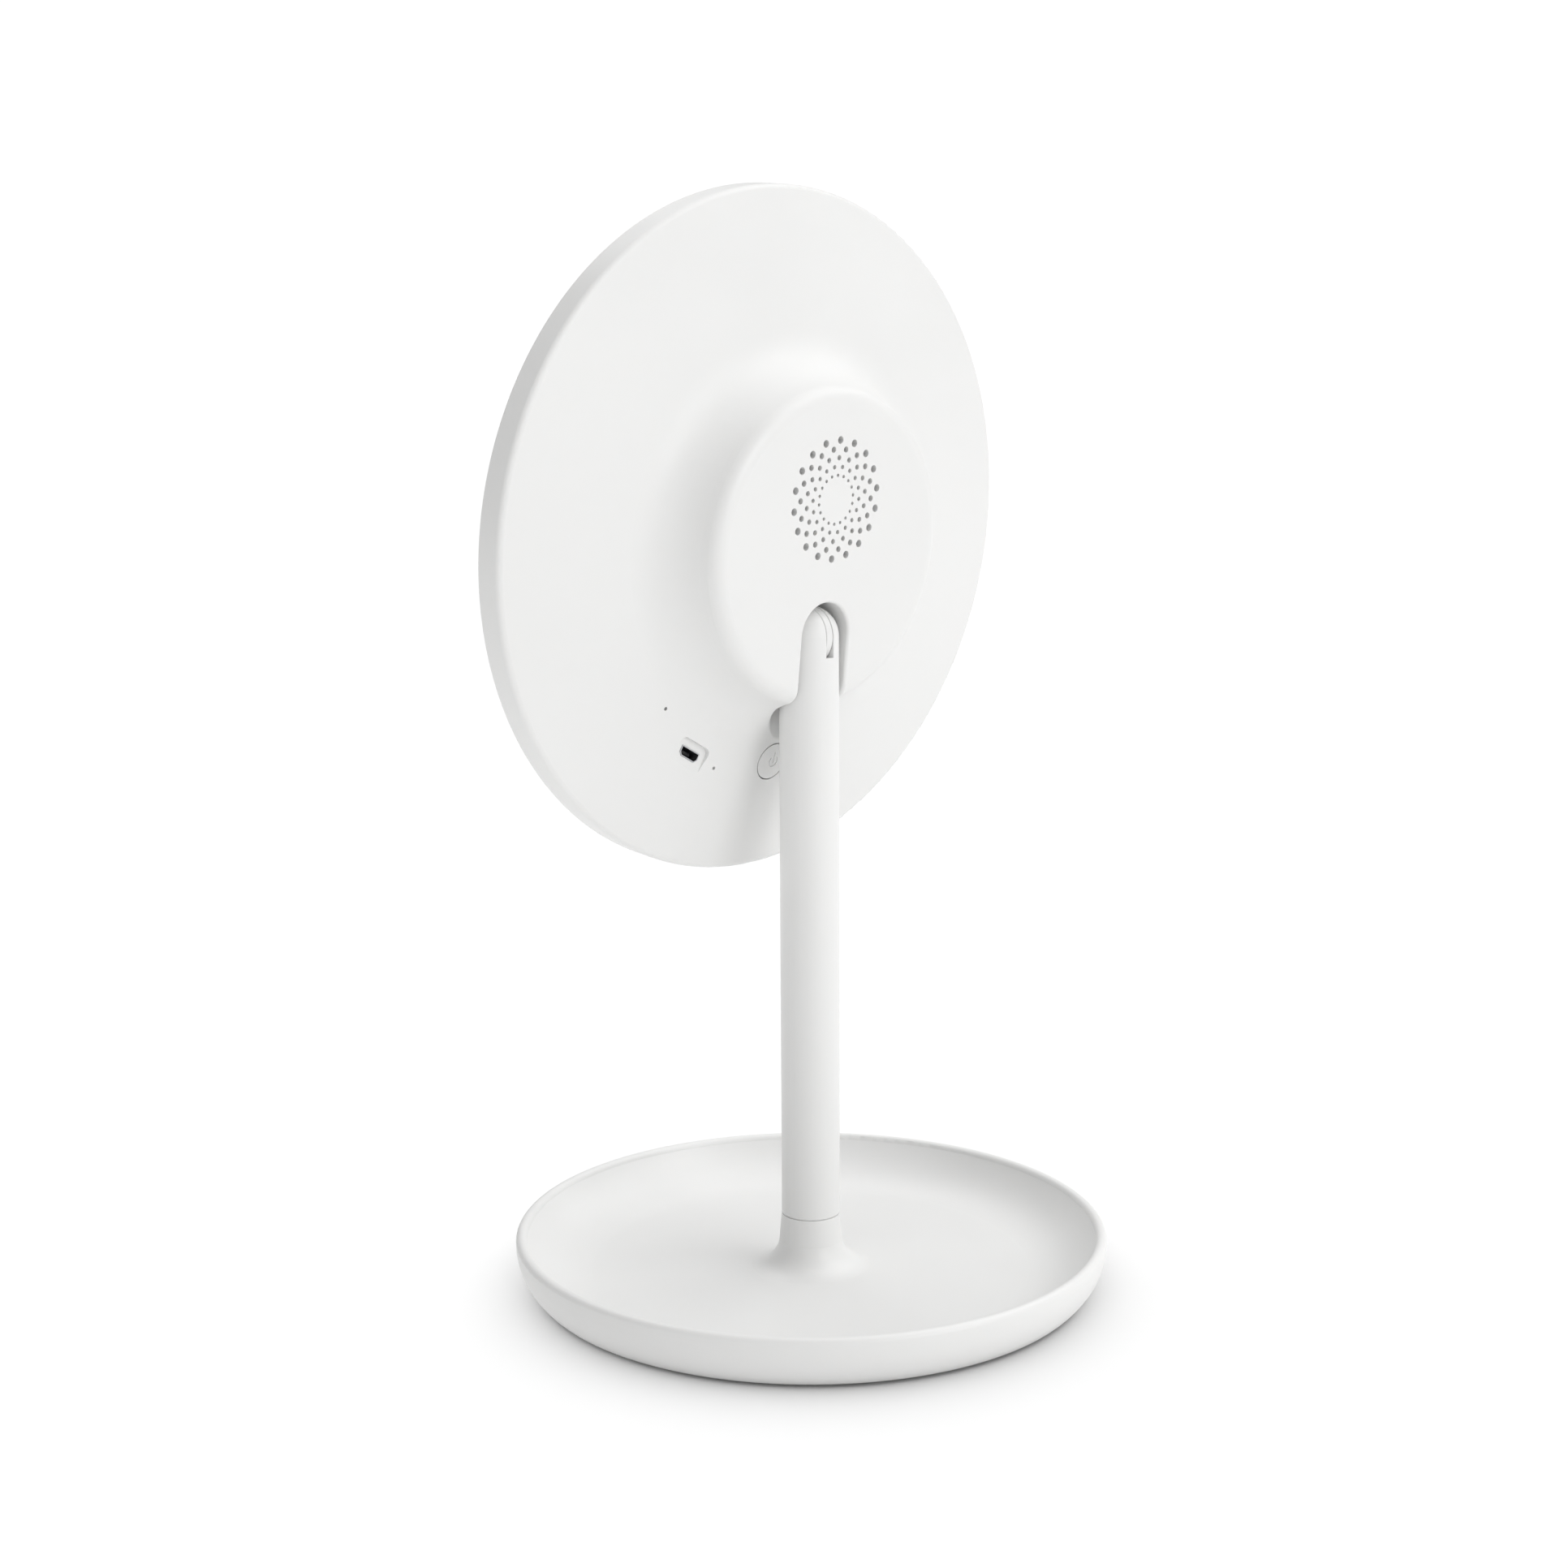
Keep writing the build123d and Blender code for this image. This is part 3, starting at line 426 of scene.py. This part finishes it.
@dataclass(frozen=True)
class Speaker(SubAssembly):
    """Speaker behind the grille, with its woven dust cloth.

    A real dust cloth has threads about 0.3 mm apart; these are wider, so that they show.

    Attributes:
        thread_mm: spacing of the cloth's threads.
        rise_mm: how far a thread climbs over the one that it crosses.
        thick_mm: thickness of the cloth between its crossings.
        steps: mesh cells in one thread spacing.
    """

    nodes: tuple[str, ...] = (
        "speaker_gasket", "speaker_basket", "speaker_cone", "speaker_magnet", "speaker_clamp",
        "speaker_screws",
    )  # fmt: skip
    thread_mm: float = 0.8
    rise_mm: float = 0.05
    thick_mm: float = 0.12
    steps: int = 4

    def build(self) -> None:
        """Dress the CAD nodes and weave the cloth."""
        super().build()
        self._cloth()

    def _cloth(self) -> bpy.types.Object:
        """Weave the round cloth, stretched flat where the CAD disc is.

        Returns:
            The cloth's object.
        """
        disc = frame["nodes"]["speaker_cloth"].data
        corners = [vertex.co for vertex in disc.vertices]
        centre = sum(corners, Vector()) / len(corners)
        facing = max(disc.polygons, key=lambda side: side.area).normal
        radius = max((corner - centre).length for corner in corners) - self.rise_mm * MM
        cell = self.thread_mm * MM / self.steps
        count = math.ceil(radius / cell)
        weave = bmesh.new()
        grid = {}
        for i in range(-count, count + 1):
            for j in range(-count, count + 1):
                if math.hypot(i, j) * cell <= radius:
                    warp = math.cos(math.pi * i / self.steps) * math.cos(math.pi * j / self.steps)
                    grid[i, j] = weave.verts.new((i * cell, j * cell, warp * self.rise_mm * MM))
        for i, j in grid:
            ring = [grid.get(key) for key in ((i, j), (i + 1, j), (i + 1, j + 1), (i, j + 1))]
            if all(ring):
                weave.faces.new(ring)
        mesh = bpy.data.meshes.new("speaker_dust_cloth")
        weave.to_mesh(mesh)
        weave.free()
        turn = facing.to_track_quat("Z", "Y").to_matrix().to_4x4()
        mesh.transform(Matrix.Translation(centre) @ turn)
        mesh.materials.append(SPEAKER_MESH.build())
        cloth = bpy.data.objects.new("speaker_dust_cloth", mesh)
        bpy.context.scene.collection.objects.link(cloth)
        body = cloth.modifiers.new("thread_thickness", "SOLIDIFY")
        body.thickness, body.offset = self.thick_mm * MM, 0.0
        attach(cloth, "head")
        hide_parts("speaker_cloth")
        log.info("wove speaker_dust_cloth, %.1f mm across", 2 * radius / MM)
        return cloth


# ---- studio ------------------------------------------------------------------------------


class Lit(Enum):
    """What a lamp shines on, as a flag on a studio stand would set it."""

    MODEL = "EXCLUDE"
    FLOOR = "INCLUDE"


@dataclass(frozen=True)
class Lamp:
    """One wide, even lamp.

    Attributes:
        name: what it does.
        around: degrees round from facing the mirror.
        above: degrees over the horizon.
        spread: how wide it looks from the model, degrees.
        strength: light it gives.
        lit: whether it shines on the model or on the floor.
    """

    name: str
    around: float
    above: float
    spread: float
    strength: float
    lit: Lit = Lit.MODEL

    def build(self, floor: bpy.types.Object) -> None:
        """Hang the lamp and flag it off the floor, or off all but the floor.

        Args:
            floor: the studio's floor.
        """
        data = bpy.data.lights.new(self.name, "SUN")
        data.angle, data.energy = math.radians(self.spread), self.strength
        lamp = bpy.data.objects.new(self.name, data)
        bpy.context.scene.collection.objects.link(lamp)
        lamp.rotation_euler = (-toward(self.around, self.above)).to_track_quat("-Z", "Y").to_euler()
        reached = bpy.data.collections.new(self.name + "_reaches")
        reached.objects.link(floor)
        reached.collection_objects[0].light_linking.link_state = self.lit.value
        lamp.light_linking.receiver_collection = reached
        if self.lit is Lit.FLOOR:
            shading = bpy.data.collections.new(self.name + "_shaded_by")
            for node in ("tray", "foot_pad"):
                shading.objects.link(frame["nodes"][node])
            lamp.light_linking.blocker_collection = shading


def toward(around: float, above: float) -> Vector:
    """Find the way from the model to a place round it.

    Args:
        around: degrees round from facing the mirror.
        above: degrees over the horizon.

    Returns:
        A vector of length 1.
    """
    a, e = math.radians(around), math.radians(above)
    return Vector((math.sin(a) * math.cos(e), -math.cos(a) * math.cos(e), math.sin(e)))


@dataclass(frozen=True)
class Studio:
    """White sweep, soft light and the camera.

    Attributes:
        azimuth: where the camera stands, degrees round from facing the mirror.
        distance: from the post's axis to the camera, level.
        height: of the camera over the table.
        sideways: how far the camera stands to its left of the line to the post.
        pitch: degrees down.
        roll: degrees of camera roll.
        lens: focal length.
        sensor: width of the camera's sensor.
        nearest: nearest distance that the camera shows.
        furthest: furthest distance that the camera shows.
        ambient: strength of the even light from all round.
        backdrop: brightness of the backdrop where the camera sees it.
        floor_radius: of the round floor, wide enough that its edge is out of view.
        floor_sides: corners of that circle.
        lamps: the lamps that are hung.
    """

    azimuth: float = 134.9
    distance: float = 0.6593
    height: float = 0.2577
    sideways: float = -0.0074
    pitch: float = 9.24
    roll: float = -0.32
    lens: float = 52.37
    sensor: float = 36.0
    nearest: float = 0.01
    furthest: float = 50.0
    ambient: float = 0.48
    backdrop: float = 1.05
    floor_radius: float = 14.0
    floor_sides: int = 96
    lamps: tuple[Lamp, ...] = (
        Lamp("key_low", 182.0, 15.0, 30.0, 0.70),
        Lamp("key_high", 212.0, 46.0, 32.0, 0.58),
        Lamp("side", 262.0, 48.0, 40.0, 0.50),
        Lamp("rear", 328.0, 50.0, 40.0, 0.42),
        Lamp("top", 240.0, 82.0, 40.0, 0.48),
        Lamp("sweep", 325.0, 62.0, 140.0, 2.4, Lit.FLOOR),
    )

    def build(self) -> None:
        """Make the floor, the lights, the world and the camera."""
        floor = self._floor()
        for lamp in self.lamps:
            lamp.build(floor)
        self._world()
        self._camera()

    def _camera(self) -> None:
        """Stand the camera behind the head and over its middle, looking a little down."""
        data = bpy.data.cameras.new("camera")
        data.lens, data.sensor_width = self.lens, self.sensor
        data.clip_start, data.clip_end = self.nearest, self.furthest
        camera = bpy.data.objects.new("camera", data)
        bpy.context.scene.collection.objects.link(camera)
        back = toward(self.azimuth, 0.0)
        right = Vector((0, 0, 1)).cross(back)
        camera.location = back * self.distance + right * self.sideways + Vector((0, 0, self.height))
        sight = -toward(self.azimuth, self.pitch)
        turn = sight.to_track_quat("-Z", "Y").to_matrix() @ Matrix.Rotation(
            math.radians(self.roll), 3, "Z"
        )
        camera.rotation_euler = turn.to_euler()
        bpy.context.scene.camera = camera

    def _floor(self) -> bpy.types.Object:
        """Lay a wide pale floor.

        Returns:
            The floor's object.
        """
        mesh = bpy.data.meshes.new("floor")
        shape = bmesh.new()
        bmesh.ops.create_circle(
            shape, cap_ends=True, segments=self.floor_sides, radius=self.floor_radius
        )
        shape.to_mesh(mesh)
        shape.free()
        floor = bpy.data.objects.new("floor", mesh)
        bpy.context.scene.collection.objects.link(floor)
        material = bpy.data.materials.new("paper_sweep_white")
        material.use_nodes = True
        shader = material.node_tree.nodes["Principled BSDF"]
        shader.inputs["Base Color"].default_value = linear("#F4F4F4")
        shader.inputs["Roughness"].default_value = 0.9
        shader.inputs["Specular IOR Level"].default_value = 0.1
        mesh.materials.append(material)
        return floor

    def _world(self) -> None:
        """Even white surroundings."""
        world = bpy.data.worlds.new("white_room")
        world.use_nodes = True
        tree = world.node_tree
        tree.nodes.clear()
        seen = add_node(tree, "ShaderNodeLightPath").outputs["Is Camera Ray"]
        room = add_node(tree, "ShaderNodeBackground", {}, {0: WHITE, 1: self.ambient})
        paper = add_node(tree, "ShaderNodeBackground", {}, {0: WHITE, 1: self.backdrop})
        mix = add_node(
            tree, "ShaderNodeMixShader", {}, {0: seen, 1: room.outputs[0], 2: paper.outputs[0]}
        )
        add_node(tree, "ShaderNodeOutputWorld", {}, {"Surface": mix.outputs[0]})
        scene = bpy.context.scene
        scene.world = world
        scene.view_settings.view_transform = "Standard"


def main() -> None:
    """Dress the CAD frame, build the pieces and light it."""
    logging.basicConfig(level=logging.INFO, format="%(message)s")
    for part in (Base(), Stand(), Housing(), Face(), Electronics(), Speaker()):
        part.build()
    Studio().build()


if __name__ == "__main__":
    main()
